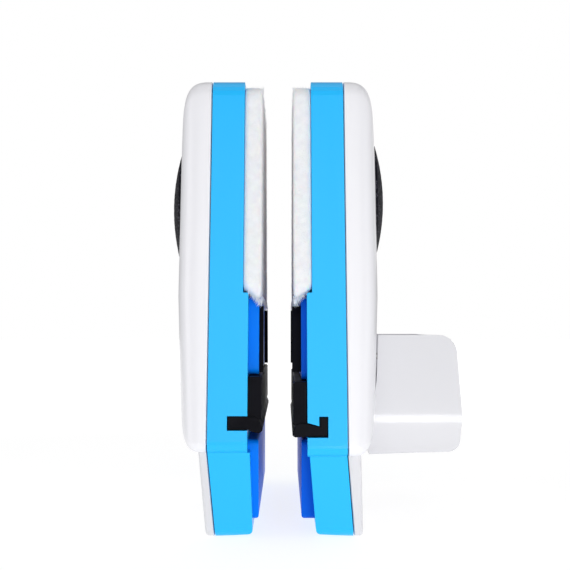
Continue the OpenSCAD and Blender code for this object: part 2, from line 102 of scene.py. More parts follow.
def chin_share(side, z):
    """Share of the way down a chin, from its step to its foot, at a height."""
    return max(0.0, (SHOULDER_Z[side] - z) / (SHOULDER_Z[side] - CHIN_Z))


def lean(side, z, top=LEAN_TOP):
    """How far a chin leans out from the pane at a height."""
    return (1 if side == INNER else -1) * (top + (LEAN_BOTTOM - top) * chin_share(side, z))


# ---------------------------------------------------------------- camera and light

NEAR_WALL_Y = -70.0
EYE_Z = -50.0
VIEW_SHIFT = 0.0765
CAMERA_BACK = 350.0
CAMERA_RIGHT = 2.55
LENS_MM, SENSOR_MM = 66.5, 36.0
WORLD_LIGHT = 0.33
FLOOR_GLOW_NEAR, FLOOR_GLOW_FAR = 0.8, 0.95
FLOOR_GLOW_REACH = (0.3, 1.0)
FLOOR_SIZE = 12.0
CLIP = (0.01, 100.0)
LIGHT_AIM = (-0.005, 0, -0.04)


def link(obj):
    bpy.context.scene.collection.objects.link(obj)


def add_camera():
    data = bpy.data.cameras.new("camera")
    data.lens, data.sensor_width = LENS_MM, SENSOR_MM
    data.clip_start, data.clip_end = CLIP
    data.shift_y = VIEW_SHIFT
    cam = bpy.data.objects.new("camera", data)
    link(cam)
    cam.location = ((CAMERA_RIGHT - GAP / 2) * MM, (NEAR_WALL_Y - CAMERA_BACK) * MM, EYE_Z * MM)
    cam.rotation_euler = (math.radians(90), 0, 0)
    bpy.context.scene.camera = cam


def add_area(name, at, size, power, aim=LIGHT_AIM):
    data = bpy.data.lights.new(name, "AREA")
    data.shape, data.energy = "RECTANGLE", power
    data.size, data.size_y = size
    light = bpy.data.objects.new(name, data)
    link(light)
    light.location = at
    light.rotation_euler = (Vector(aim) - Vector(at)).to_track_quat("-Z", "Y").to_euler()
    light.visible_camera = False


def add_lights():
    """Soft lights all round, and a small strip that lights the crease under the handle's edge."""
    add_area("key_front", (0.12, -1.3, 0.5), (1.2, 0.9), 4.1)
    add_area("fill_right", (1.3, -0.5, 0.25), (0.9, 0.9), 2.0)
    add_area("crease_strip", (0.077, -0.30, -0.096), (0.085, 0.045), 0.14, (0.045, -0.04, -0.084))
    add_area("fill_left", (-1.3, -0.5, 0.3), (0.9, 0.9), 3.6)
    add_area("top", (0.0, 0.2, 1.4), (1.2, 1.2), 2.6)
    add_area("back", (0.2, 1.4, 0.5), (1.2, 0.9), 1.6)


def set_world():
    """White studio that lights the object gently and looks plain white behind it."""
    world = bpy.data.worlds.new("studio")
    bpy.context.scene.world = world
    world.use_nodes = True
    tree = world.node_tree
    lit = tree.nodes["Background"]
    lit.inputs["Color"].default_value = grey(1)
    lit.inputs["Strength"].default_value = WORLD_LIGHT
    seen = tree.nodes.new("ShaderNodeBackground")
    seen.inputs["Color"].default_value = grey(1)
    path = tree.nodes.new("ShaderNodeLightPath")
    mix = tree.nodes.new("ShaderNodeMixShader")
    tree.links.new(path.outputs["Is Camera Ray"], mix.inputs[0])
    tree.links.new(lit.outputs[0], mix.inputs[1])
    tree.links.new(seen.outputs[0], mix.inputs[2])
    tree.links.new(mix.outputs[0], tree.nodes["World Output"].inputs["Surface"])
    view = bpy.context.scene.view_settings
    view.view_transform, view.look = "Standard", "None"


# ---------------------------------------------------------------- materials

def new_material(name):
    mat = bpy.data.materials.new(name)
    mat.use_nodes = True
    tree = mat.node_tree
    shader = tree.nodes["Principled BSDF"]
    coords = tree.nodes.new("ShaderNodeTexCoord")
    return mat, tree, shader, coords


def noise_node(tree, coords, scale, detail=3.0, rough=0.5, stretch=(1, 1, 1)):
    mapping = tree.nodes.new("ShaderNodeMapping")
    mapping.inputs["Scale"].default_value = stretch
    node = tree.nodes.new("ShaderNodeTexNoise")
    node.inputs["Scale"].default_value = scale
    node.inputs["Detail"].default_value = detail
    node.inputs["Roughness"].default_value = rough
    tree.links.new(coords.outputs["Object"], mapping.inputs["Vector"])
    tree.links.new(mapping.outputs["Vector"], node.inputs["Vector"])
    return node


def ramp_node(tree, source, low, high, from_value=0.3, to_value=0.7):
    """Maps a texture's value onto two colours or two greys."""
    ramp = tree.nodes.new("ShaderNodeValToRGB")
    ramp.color_ramp.elements[0].position, ramp.color_ramp.elements[0].color = from_value, low
    ramp.color_ramp.elements[1].position, ramp.color_ramp.elements[1].color = to_value, high
    tree.links.new(source, ramp.inputs["Fac"])
    return ramp


def grey(value):
    return (value, value, value, 1)


def bump_node(tree, height, distance, strength=1.0, below=None):
    bump = tree.nodes.new("ShaderNodeBump")
    bump.inputs["Distance"].default_value = distance
    bump.inputs["Strength"].default_value = strength
    tree.links.new(height, bump.inputs["Height"])
    if below:
        tree.links.new(below.outputs["Normal"], bump.inputs["Normal"])
    return bump


# Below a roughness of about 0.274 the denoiser changes how it guides, which draws contour lines.
SATIN = (0.285, 0.325)
DULL = (0.36, 0.42)


def moulded_plastic(name, colour, dark, rough=SATIN, coat=0.25, gloss=0.5):
    """Injection-moulded plastic: faint flow marks in the colour, satin variation, fine peel."""
    mat, tree, shader, coords = new_material(name)
    flow = noise_node(tree, coords, 12, 0, stretch=(1, 1, 0.35))
    tone = ramp_node(tree, flow.outputs["Fac"], (*dark, 1), (*colour, 1), 0.1, 0.9)
    tree.links.new(tone.outputs["Color"], shader.inputs["Base Color"])
    handled = noise_node(tree, coords, 30, 0)
    satin = ramp_node(tree, handled.outputs["Fac"], grey(rough[0]), grey(rough[1]))
    tree.links.new(satin.outputs["Color"], shader.inputs["Roughness"])
    peel = noise_node(tree, coords, 900, 2)
    ripple = noise_node(tree, coords, 120, 2)
    wave = bump_node(tree, ripple.outputs["Fac"], 0.00006, 0.05)
    bump = bump_node(tree, peel.outputs["Fac"], 0.00002, 0.2, wave)
    tree.links.new(bump.outputs["Normal"], shader.inputs["Normal"])
    shader.inputs["Coat Weight"].default_value = coat
    shader.inputs["Coat Roughness"].default_value = 0.08
    shader.inputs["Specular IOR Level"].default_value = gloss
    return mat


def pebbled_rubber_painted_glints(name):
    """Matt rubber with a pebbled anti-slip grain, its raised tops painted pale in place of their
    glints.
    """
    mat, tree, shader, coords = new_material(name)
    cells = tree.nodes.new("ShaderNodeTexVoronoi")
    cells.inputs["Scale"].default_value = 1100
    tree.links.new(coords.outputs["Object"], cells.inputs["Vector"])
    pits = noise_node(tree, coords, 2600, 2)
    # Painted highlight: the pebbles' raised centres get a pale colour that stands in for their
    # glints.
    glint_paint, ground = (0.16, 0.155, 0.19, 1), (0.004, 0.004, 0.008, 1)
    tone = ramp_node(tree, cells.outputs["Distance"], glint_paint, ground, 0.12, 0.34)
    tree.links.new(tone.outputs["Color"], shader.inputs["Base Color"])
    worn = ramp_node(tree, pits.outputs["Fac"], grey(0.5), grey(0.75))
    tree.links.new(worn.outputs["Color"], shader.inputs["Roughness"])
    pebble = bump_node(tree, cells.outputs["Distance"], 0.0003, -0.8)
    bump = bump_node(tree, pits.outputs["Fac"], 0.0001, 0.4, pebble)
    tree.links.new(bump.outputs["Normal"], shader.inputs["Normal"])
    shader.inputs["Specular IOR Level"].default_value = 0.08
    return mat


def blade_rubber(name):
    """Smooth extruded rubber: fine draw lines along the blade and a faint bloom."""
    mat, tree, shader, coords = new_material(name)
    lines = noise_node(tree, coords, 1800, 3, stretch=(1, 0.003, 1))
    bloom = noise_node(tree, coords, 140, 4)
    dark, pale = (0.002, 0.002, 0.004, 1), (0.006, 0.006, 0.009, 1)
    tone = ramp_node(tree, bloom.outputs["Fac"], dark, pale)
    tree.links.new(tone.outputs["Color"], shader.inputs["Base Color"])
    satin = ramp_node(tree, bloom.outputs["Fac"], grey(0.38), grey(0.55))
    tree.links.new(satin.outputs["Color"], shader.inputs["Roughness"])
    bump = bump_node(tree, lines.outputs["Fac"], 0.00003, 0.3)
    tree.links.new(bump.outputs["Normal"], shader.inputs["Normal"])
    shader.inputs["Specular IOR Level"].default_value = 0.06
    return mat


def fleece_fibre(name):
    """White fleece: soft light through the fibres, faint warm and cool tufts."""
    mat, tree, shader, coords = new_material(name)
    tufts = noise_node(tree, coords, 420, 4)
    cool, warm = (0.88, 0.86, 0.89, 1), (0.95, 0.935, 0.95, 1)
    tone = ramp_node(tree, tufts.outputs["Fac"], cool, warm)
    tree.links.new(tone.outputs["Color"], shader.inputs["Base Color"])
    fuzz = noise_node(tree, coords, 2600, 3)
    bump = bump_node(tree, fuzz.outputs["Fac"], 0.0004, 0.7)
    tree.links.new(bump.outputs["Normal"], shader.inputs["Normal"])
    shader.inputs["Roughness"].default_value = 0.95
    shader.inputs["Specular IOR Level"].default_value = 0.1
    shader.inputs["Sheen Weight"].default_value = 0.5
    shader.inputs["Sheen Roughness"].default_value = 0.6
    shader.inputs["Subsurface Weight"].default_value = 0.25
    shader.inputs["Subsurface Scale"].default_value = 0.002
    return mat


def hook_tape(name):
    """Black hook tape: a tight woven grid of stiff loops."""
    mat, tree, shader, coords = new_material(name)
    weave = tree.nodes.new("ShaderNodeTexVoronoi")
    weave.inputs["Scale"].default_value = 1100
    weave.inputs["Randomness"].default_value = 0.25
    tree.links.new(coords.outputs["Object"], weave.inputs["Vector"])
    # The gaps between the raised loops are painted darker than the loops: painted shade in the
    # recesses.
    loop, gap_painted_shade = (0.06, 0.06, 0.065, 1), (0.01, 0.01, 0.012, 1)
    tone = ramp_node(tree, weave.outputs["Distance"], loop, gap_painted_shade, 0.1, 0.6)
    tree.links.new(tone.outputs["Color"], shader.inputs["Base Color"])
    bump = bump_node(tree, weave.outputs["Distance"], 0.0005, -0.9)
    tree.links.new(bump.outputs["Normal"], shader.inputs["Normal"])
    shader.inputs["Roughness"].default_value = 0.7
    return mat


def plated_metal(name, colour, rough, brushed):
    """Plated steel or nickel: brushed along one way, with a cloudy finish."""
    mat, tree, shader, coords = new_material(name)
    stretch = (1, 0.05, 1) if brushed else (1, 1, 1)
    grainy = noise_node(tree, coords, 900, 4, stretch=stretch)
    cloudy = noise_node(tree, coords, 60, 3)
    tone = ramp_node(tree, cloudy.outputs["Fac"], (*[c * 0.8 for c in colour], 1), (*colour, 1))
    tree.links.new(tone.outputs["Color"], shader.inputs["Base Color"])
    satin = ramp_node(tree, grainy.outputs["Fac"], grey(rough[0]), grey(rough[1]))
    tree.links.new(satin.outputs["Color"], shader.inputs["Roughness"])
    bump = bump_node(tree, grainy.outputs["Fac"], 0.00004, 0.4)
    tree.links.new(bump.outputs["Normal"], shader.inputs["Normal"])
    shader.inputs["Metallic"].default_value = 1.0
    return mat


def floor_material():
    """White lit floor that only darkens close under the object."""
    mat, tree, shader, coords = new_material("pale_floor")
    cloudy = noise_node(tree, coords, 6, 3)
    tone = ramp_node(tree, cloudy.outputs["Fac"], grey(0.3), grey(0.31))
    tree.links.new(tone.outputs["Color"], shader.inputs["Base Color"])
    shader.inputs["Roughness"].default_value = 0.8
    shader.inputs["Emission Color"].default_value = grey(1)
    away = tree.nodes.new("ShaderNodeVectorMath")
    away.operation = "LENGTH"
    tree.links.new(coords.outputs["Object"], away.inputs[0])
    glow = tree.nodes.new("ShaderNodeMapRange")
    glow.inputs["From Min"].default_value, glow.inputs["From Max"].default_value = FLOOR_GLOW_REACH
    glow.inputs["To Min"].default_value = FLOOR_GLOW_NEAR
    glow.inputs["To Max"].default_value = FLOOR_GLOW_FAR
    tree.links.new(away.outputs["Value"], glow.inputs["Value"])
    tree.links.new(glow.outputs["Result"], shader.inputs["Emission Strength"])
    return mat


# Colour, darker tone of the flow marks, then roughness, coat and gloss where they differ.
PLASTICS = {
    "frame_blue": ((0.012, 0.5, 1.0), (0.01, 0.488, 1.0), SATIN, 0.1, 0.3),
    # The beds' blue is painted shade: a darker, deeper copy of the frame's blue, standing in for
    # the shade and blue bounce light in their recess beside the pane.
    "bed_blue": ((0.0, 0.235, 0.95), (0.0, 0.215, 0.92), DULL, 0.0, 0.08),
    # A still darker copy for the inner beds: more painted shade.
    "bed_deeper_shaded_blue": ((0.0, 0.12, 0.7), (0.0, 0.11, 0.67), DULL, 0.0, 0.08),
    "shell_white": ((0.85, 0.848, 0.885), (0.843, 0.841, 0.88)),
    # The handle's own grey; on the chin cover the same grey is painted shade.
    "handle_white": ((0.7, 0.7, 0.73), (0.692, 0.692, 0.724)),
    "eyelet_plastic": ((0.03, 0.03, 0.034), (0.02, 0.02, 0.024)),
}

MATERIALS = {name: moulded_plastic(name, *look) for name, look in PLASTICS.items()}
MATERIALS.update({
    "grip_rubber": pebbled_rubber_painted_glints("grip_rubber"),
    "blade_rubber": blade_rubber("blade_rubber"),
    "fleece": fleece_fibre("fleece"),
    "hook_fabric": hook_tape("hook_fabric"),
    "magnet_metal": plated_metal("magnet_metal", (0.78, 0.77, 0.74), (0.12, 0.3), False),
    "yoke_steel": plated_metal("yoke_steel", (0.6, 0.6, 0.62), (0.3, 0.5), True),
    "screw_steel": plated_metal("screw_steel", (0.68, 0.68, 0.67), (0.22, 0.4), False),
})


# ---------------------------------------------------------------- mesh helpers

def rounded(corners, steps=10):
    """A closed outline of (a, b, radius) corners, with each corner rounded by an arc."""
    points = []
    count = len(corners)
    for i, (a, b, r) in enumerate(corners):
        here = Vector((a, b))
        if r == 0:
            points.append(here)
            continue
        to_last = (Vector(corners[i - 1][:2]) - here).normalized()
        to_next = (Vector(corners[(i + 1) % count][:2]) - here).normalized()
        half = to_last.angle(to_next) / 2
        centre = here + (to_last + to_next).normalized() * r / math.sin(half)
        first = here + to_last * r / math.tan(half) - centre
        second = here + to_next * r / math.tan(half) - centre
        sweep = math.pi - 2 * half
        for k in range(steps + 1):
            s = k / steps
            arm = first * math.sin(sweep * (1 - s)) + second * math.sin(sweep * s)
            points.append(centre + arm / math.sin(sweep))
    return points


def subdivided(points, longest=4.0):
    """The same closed outline with its long straight stretches split evenly."""
    dense = []
    for i, here in enumerate(points):
        after = points[(i + 1) % len(points)]
        parts = max(1, math.ceil((after - here).length / longest))
        dense += [here.lerp(after, k / parts) for k in range(parts)]
    return dense


def both_sides(right):
    """Corners on the +Y side, repeated on the -Y side."""
    return right + [(-y, z, r) for y, z, r in reversed(right)]


def body_outline(side):
    return both_sides([(TOP_HW, TOP_Z, TOP_R), (SHOULDER_HW, SHOULDER_Z[side], SHOULDER_R)])


def chin_outline(side, inset):
    """The chin's outline behind the shell's plate, drawn inwards by inset."""
    top = SHOULDER_Z[side] + CHIN_LAP
    return both_sides([
        (CHIN_TOP_HW - inset, top, 0),
        (CHIN_TOP_HW - inset, SHOULDER_Z[side], 0),
        (CHIN_HW - inset, CHIN_Z + inset, CHIN_R - inset),
    ])


def loft(bm, rings, close_start=True, close_end=True):
    """Joins closed rings of equal length into a skin, and caps its ends."""
    made = [[bm.verts.new(p) for p in ring] for ring in rings]
    count = len(made[0])
    for low, high in zip(made, made[1:]):
        for i in range(count):
            k = (i + 1) % count
            bm.faces.new((low[i], low[k], high[k], high[i]))
    if close_start:
        bm.faces.new(list(reversed(made[0])))
    if close_end:
        bm.faces.new(made[-1])
    return made


SMOOTH_ANGLE = 40


def to_object(bm, name, body, slot, smooth=SMOOTH_ANGLE, replaces=()):
    """Makes an object of a bmesh, gives it its material, body and the CAD nodes it stands for."""
    bmesh.ops.recalc_face_normals(bm, faces=bm.faces)
    mesh = bpy.data.meshes.new(name)
    bm.to_mesh(mesh)
    bm.free()
    obj = bpy.data.objects.new(name, mesh)
    link(obj)
    obj.data.materials.append(MATERIALS[slot])
    shade(obj, smooth)
    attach(obj, body)
    if replaces:
        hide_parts(*replaces)
    return obj


def shade(obj, angle):
    """Smooth shading, split at edges sharper than angle."""
    bpy.context.view_layer.objects.active = obj
    for other in bpy.context.selected_objects:
        other.select_set(False)
    obj.select_set(True)
    bpy.ops.object.shade_smooth_by_angle(angle=math.radians(angle))
    obj.select_set(False)


def cut(obj, cutter_bm):
    """Cuts a closed bmesh out of an object's mesh."""
    mesh = bpy.data.meshes.new("cutter")
    bmesh.ops.recalc_face_normals(cutter_bm, faces=cutter_bm.faces)
    cutter_bm.to_mesh(mesh)
    cutter_bm.free()
    cutter = bpy.data.objects.new("cutter", mesh)
    link(cutter)
    boolean = obj.modifiers.new("cut", "BOOLEAN")
    boolean.operation, boolean.solver, boolean.object = "DIFFERENCE", "EXACT", cutter
    apply_modifiers(obj)
    bpy.data.objects.remove(cutter)


def apply_modifiers(obj):
    """Bakes an object's modifiers into its mesh."""
    graph = bpy.context.evaluated_depsgraph_get()
    mesh = bpy.data.meshes.new_from_object(obj.evaluated_get(graph))
    obj.modifiers.clear()
    old, obj.data = obj.data, mesh
    bpy.data.meshes.remove(old)


def circle(steps):
    return [2 * math.pi * i / steps for i in range(steps)]


def turned(bm, side, profile, steps):
    """A closed solid turned about the grip dome's axis from a profile of (radius, u)."""
    loft(bm, [
        [place(side, u, r * math.cos(a), GRIP_Z[side] + r * math.sin(a)) for a in circle(steps)]
        for r, u in profile
    ])


def resample(ring, count):
    """The same closed ring with exactly count points."""
    total = len(ring)
    return [ring[int(i * total / count)] for i in range(count)]


def layered(at, layers):
    """Sum of noise layers, each a scale and a strength, at a point in millimetres."""
    return sum(noise.noise(at * scale) * strength for scale, strength in layers)


# ---------------------------------------------------------------- shells

EDGE_STEPS, CROWN_STEPS = 20, 22
RIM_SCALE = 0.966
RIM_FILLET = 0.25
# The outline's scale and the share of the fillet's height, from the rim's foot outwards.
FILLET_RINGS = ((1 - RIM_FILLET / 45, 0), (1 - RIM_FILLET / 90, 0.3), (1, 1))
DOME_CORNER_STEPS, CORNER_STEPS, ARC_STEPS = 12, 8, 6
PLATE_SPACING = 6.0
SEAT_STEPS = 128


def shell_lift(side, z, s, rise):
    """Height of the shell's surface above its rim, on the ring at scale s of an outline point."""
    e = min(1.0, (1 - s) / EDGE_SHARE)
    edge = max(0.0, 1 - (1 - e) ** EDGE_POWER) ** (1 / EDGE_POWER)
    drop = SHOULDER_DROP * max(0.0, (DOME_CENTRE_Z - z) / (DOME_CENTRE_Z - SHOULDER_Z[side]))
    return (rise - drop * s) * edge + CROWN_RISE * (1 - s * s)


def shell_ring(side, outline, s, rise=0.0, lift=0.0, reach=1.0):
    """One ring of the dome: the outline shrunk to scale s, raised by the edge's rise or by lift."""
    return [
        place(
            side,
            PARTING_U + SHELL_GAP + lift + (shell_lift(side, p.y, s, rise) if rise else 0),
            p.x * s * reach,
            DOME_CENTRE_Z + (p.y - DOME_CENTRE_Z) * s * reach,
        )
        for p in outline
    ]


def ring_scales():
    turns = [math.pi / 2 * k / EDGE_STEPS for k in range(EDGE_STEPS)]
    edge = [1 - EDGE_SHARE * (1 - math.cos(a) ** (2 / EDGE_POWER)) for a in turns]
    crown = [(1 - EDGE_SHARE) * (1 - k / CROWN_STEPS) for k in range(CROWN_STEPS)]
    return edge + crown


def shell_dome(side):
    """The domed cover: outer skin, rim with a small fillet, and inner skin, as one closed solid."""
    outline = subdivided(rounded(body_outline(side), DOME_CORNER_STEPS))
    outer = [shell_ring(side, outline, s, EDGE_RISE) for s in ring_scales()]
    outer[:1] = [shell_ring(side, outline, s, lift=RIM_FILLET * share) for s, share in FILLET_RINGS]
    inner = [
        shell_ring(side, outline, s, EDGE_RISE - SHELL_WALL, reach=RIM_SCALE) for s in ring_scales()
    ]
    bm = bmesh.new()
    loft(bm, list(reversed(inner)) + outer)
    return bm


def chin_plate(side):
    """The shell's thin plate over the chin, with rounded outer edges, following the chin's lean."""
    foot = PARTING_U + SHELL_GAP
    levels = [(CHIN_FOOT_EDGE, 0.0), (0.0, CHIN_FOOT_EDGE)]
    for k in range(ARC_STEPS + 1):
        a = math.pi / 2 * k / ARC_STEPS
        inset = CHIN_EDGE_R * (1 - math.cos(a))
        levels.append((inset, CHIN_SHELL_T - CHIN_EDGE_R + CHIN_EDGE_R * math.sin(a)))
    rings = []
    for inset, lift in levels:
        outline = subdivided(rounded(chin_outline(side, inset), CORNER_STEPS), PLATE_SPACING)
        ring = []
        for p in outline:
            share = lift / CHIN_SHELL_T
            tilt = lean(side, p.y, 0) * (1 - share) + lean(side, p.y) * share
            thinner = CHIN_THINS * chin_share(side, p.y) * share
            ring.append(place(side, foot + tilt + lift - thinner, p.x, p.y))
        rings.append(ring)
    shortest = min(len(r) for r in rings)
    if any(len(r) != shortest for r in rings):
        raise ValueError("the chin plate's rings differ")
    bm = bmesh.new()
    loft(bm, rings)
    return bm


def locating_rim(side, bm):
    """The shell's rim, which stands inside the frame's wall behind the parting line."""
    outer, inner = [
        subdivided(rounded(both_sides([
            (TOP_HW - inset, TOP_Z - inset, TOP_R - inset),
            (
                SHOULDER_HW - inset * RIM_SHOULDER_SHARE,
                SHOULDER_Z[side] + inset,
                RIM_SHOULDER_R,
            ),
        ]), CORNER_STEPS), PLATE_SPACING)
        for inset in (RIM_INSET, RIM_INSET + RIM_T)
    ]
    count = min(len(outer), len(inner))
    top_u = PARTING_U + RIM_LAP
    rings = [
        [place(side, u, p.x, p.y) for p in resample(outline, count)]
        for outline, u in ((outer, RIM_U), (outer, top_u), (inner, top_u), (inner, RIM_U))
    ]
    made = loft(bm, rings, close_start=False, close_end=False)
    for i in range(count):
        k = (i + 1) % count
        bm.faces.new((made[-1][i], made[-1][k], made[0][k], made[0][i]))


def add_shell(side):
    """Dome with the grip's seat cut in it, chin plate and rim, which together are the shell."""
    body, stands_for = f"{side}_half", [f"{side}_shell"]
    dome = to_object(
        shell_dome(side), f"{side}_shell_cover", body, "shell_white", 50, replaces=stands_for
    )
    seat = bmesh.new()
    seat_r = GRIP_R + SEAT_GAP
    turned(seat, side, [(seat_r, SEAT_U), (seat_r, SEAT_CUT_U)], SEAT_STEPS)
    cut(dome, seat)
    shade(dome, SMOOTH_ANGLE)
    # The chin cover is a plate of the same white shell, yet takes the handle's greyer white:
    # painted shade, standing in for the shade under the body's shoulder.
    to_object(chin_plate(side), f"{side}_chin_cover", body, "handle_white", replaces=stands_for)
    rim = bmesh.new()
    locating_rim(side, rim)
    to_object(rim, f"{side}_shell_rim", body, "shell_white", replaces=stands_for)


# ---------------------------------------------------------------- grip domes

ROLL_STEPS, CAP_STEPS, GRIP_AROUND = 4, 70, 200
ROLL_IN_SHARE, ROLL_LIFT = 0.8, 0.1
GRIP_FOOT_GAP = 0.05
PEBBLES = ((1.1, 0.5), (2.3, 0.3))
PEBBLE_DEPTH, PEBBLE_SPREAD, PEBBLED_DEPTH = 0.12, 0.16, 3.6


def cap_u(r):
    """Height above the pane of the grip's spherical cap at a radius."""
    return GRIP_TOP_U - GRIP_CAP_R + math.sqrt(GRIP_CAP_R ** 2 - r ** 2)


def add_grip_dome(side):
    """A spherical cap of pebbled rubber with a rolled edge, glued in the shell's seat."""
    edge_u = cap_u(GRIP_R)
    foot = (SEAT_U + GRIP_FOOT_GAP, (SEAT_U + edge_u) / 2, edge_u - GRIP_ROLL)
    profile = [(GRIP_R, u) for u in foot]
    for k in range(1, ROLL_STEPS + 1):
        a = math.pi / 2 * k / ROLL_STEPS
        r = GRIP_R - GRIP_ROLL * (1 - math.cos(a)) * ROLL_IN_SHARE
        profile.append((r, edge_u - GRIP_ROLL * (1 - math.sin(a)) + ROLL_LIFT))
    for k in range(1, CAP_STEPS):
        r = (GRIP_R - GRIP_ROLL) * (1 - k / CAP_STEPS)
        profile.append((r, cap_u(r)))
    bm = bmesh.new()
    turned(bm, side, profile, GRIP_AROUND)
    out = 1 if side == INNER else -1
    top_x = place(side, GRIP_TOP_U, 0, 0).x
    for vert in bm.verts:
        lift = layered(vert.co / MM, PEBBLES)
        if abs(vert.co.x - top_x) < PEBBLED_DEPTH * MM:
            vert.co.x -= out * max(0.0, PEBBLE_DEPTH - lift * PEBBLE_SPREAD) * MM
    to_object(bm, f"{side}_grip_cap", f"{side}_half", "grip_rubber", 60, [f"{side}_grip_dome"])


# ---------------------------------------------------------------- fleece pads

PILE_OVER_TOP = 1.4
OUTLINE_SPACING, ROOT_SPACING, ROOT_INSET = 0.9, 0.5, 0.3
SAG, SAG_BAND, SAG_BESIDE_BED, SAG_BEHIND_BED = 4.4, 2.5, 0.7, 1.2
BED_END_ROOM, BED_FACE_ROOM = 1.0, 0.3
# Inset and height above the pane of the pile's rounded edge, from its side to its face.
PILE_EDGE = ((0.0, 2.2), (0.15, 1.3), (0.45, 0.8), (1.0, 0.5))
BACK_EDGE = ((0.6, BACK_GAP), (0.1, 0.5), (0.0, 2.2))
FACE_U = 0.5
FACE_SHARES = (
    0.985, 0.96, 0.93, 0.9, 0.86, 0.82, 0.77, 0.72, 0.66, 0.6, 0.53, 0.46, 0.38, 0.3, 0.2, 0.1
)
PILE_CLUMPS = ((0.55, 0.35), (1.5, 0.22))
CLUMP_SPREAD, CLUMP_DEPTH = 0.5, 0.6


def pad_outline(inset):
    top = PAD_TOP_Z + PILE_OVER_TOP
    return both_sides([
        (side_hw(top) - PAD_INSET - inset, top - inset, PAD_TOP_R - inset / 2),
        (side_hw(PAD_BOTTOM_Z) - PAD_INSET - inset, PAD_BOTTOM_Z + inset, PAD_BOTTOM_R),
    ])


def pile_sag(side, u, y, z):
    """How far the pile hangs below its backing: most near the pane, and past the bed's ends."""
    if z > PAD_BOTTOM_Z + SAG_BAND:
        return 0.0
    weight = min(1.0, (PAD_BOTTOM_Z + SAG_BAND - z) / SAG_BAND)
    if abs(y) > side_hw(PAD_BOTTOM_Z) - BED_INSET + BED_END_ROOM:
        return weight * SAG * (1 - u / PAD_T)
    beside = u < BED_U[side] - BED_FACE_ROOM
    return weight * (SAG * SAG_BESIDE_BED if beside else SAG_BEHIND_BED)


def pad_block(side, bm):
    """The fleece's body: a crowned block with a clumpy pile, fullest just above its backing."""
    pocket = STRIP_INSET - STRIP_LAP
    levels = [(pocket, PAD_T - STRIP_T - BACK_GAP), (pocket, PAD_T - BACK_GAP)]
    levels += [(inset, PAD_T - depth) for inset, depth in BACK_EDGE]
    levels += PILE_EDGE
    rings = []
    for inset, u in levels:
        outline = subdivided(rounded(pad_outline(inset), CORNER_STEPS), OUTLINE_SPACING)
        rings.append([(u, p.x, p.y - pile_sag(side, u, p.x, p.y)) for p in outline])
    count = min(len(r) for r in rings)
    rings = [resample(r, count) for r in rings]
    edge = rings[-1]
    middle_z = (PAD_TOP_Z + PAD_BOTTOM_Z) / 2
    for share in FACE_SHARES:
        rings.append([(FACE_U, y * share, middle_z + (z - middle_z) * share) for _, y, z in edge])
    loft(bm, [[place(side, u, y, z) for u, y, z in ring] for ring in rings])
    for vert in bm.verts:
        tuft(vert, side)


def tuft(vert, side):
    """Pushes a point of the pile in or out by a clumpy noise."""
    clump = layered(vert.co / MM, PILE_CLUMPS)
    out = 1 if side == INNER else -1
    flat = Vector((0, vert.co.y, vert.co.z))
    if flat.length > 0:
        vert.co += flat.normalized() * clump * CLUMP_SPREAD * MM
    if vert.co.x * out < place(side, PAD_T / 2, 0, 0).x * out:
        vert.co.x += out * abs(clump) * CLUMP_DEPTH * MM


FIBRE_BEND_AT, FIBRE_TAPER = 0.55, 0.7


def fibre(bm, root, tip, width, bend):
    """One fibre: a thin tapered three-sided blade, bent between its root and its tip."""
    along = (tip - root).normalized()
    across = along.orthogonal().normalized()
    third = along.cross(across)
    middle = root.lerp(tip, FIBRE_BEND_AT) + bend
    low, mid = [
        [
            bm.verts.new(at + (across * math.cos(a) + third * math.sin(a)) * width * taper)
            for a in circle(3)
        ]
        for at, taper in ((root, 1), (middle, FIBRE_TAPER))
    ]
    end = bm.verts.new(tip)
    for i in range(3):
        k = (i + 1) % 3
        bm.faces.new((low[i], low[k], mid[k], mid[i]))
        bm.faces.new((mid[i], mid[k], end))
    bm.faces.new(list(reversed(low)))


EDGE_FIBRES, FACE_FIBRES, CORNER_STRANDS = 5200, 2600, 70
SHORTEST_U = 0.12
EDGE_SEED = {INNER: 11, OUTER: 12}
CORNER_SEED = {1: 21, -1: 22}
EDGE_WIDTH, FACE_WIDTH, STRAND_WIDTH = (0.035, 0.07), (0.04, 0.08), (0.08, 0.16)
EDGE_ROOT = 0.5
LOW_EDGE_BAND = 1.5
FACE_ROOT_U, FACE_TIP_U = 0.9, 0.4
STRAND_FIRST_U, STRAND_BACK_ROOM, STRAND_ROOT = 0.5, 2.0, 0.4


def edge_fibres(side, rng, bm):
    """Loose fibres round the pad's edge, longest at the lower edge near the pane."""
    outline = subdivided(rounded(pad_outline(ROOT_INSET), CORNER_STEPS), ROOT_SPACING)
    for _ in range(EDGE_FIBRES):
        i = rng.randrange(len(outline))
        p, after = outline[i], outline[(i + 1) % len(outline)]
        out = Vector((after.y - p.y, p.x - after.x)).normalized()
        if out.dot(p) < 0:
            out = -out
        u = rng.uniform(0.4, PAD_T - 0.4)
        near_pane = 1 - u / PAD_T
        length = rng.uniform(0.3, 0.9)
        extra = rng.uniform(0.2, 1.8) if p.y < PAD_BOTTOM_Z + LOW_EDGE_BAND else 0.3
        length += extra * near_pane
        end_u = max(SHORTEST_U, u + rng.uniform(-0.9, 0.35))
        aim = out * length + Vector((rng.uniform(-0.5, 0.5), rng.uniform(-0.5, 0.5))) * length
        sag = pile_sag(side, u, p.x, p.y)
        root = place(side, u, p.x - out.x * EDGE_ROOT, p.y - out.y * EDGE_ROOT - sag)
        tip = place(side, end_u, p.x + aim.x, p.y + aim.y - sag)
        bend = Vector((rng.uniform(-0.15, 0.15), rng.uniform(-0.2, 0.2), rng.uniform(-0.2, 0.2)))
        fibre(bm, root, tip, rng.uniform(*EDGE_WIDTH) * MM, bend * MM)


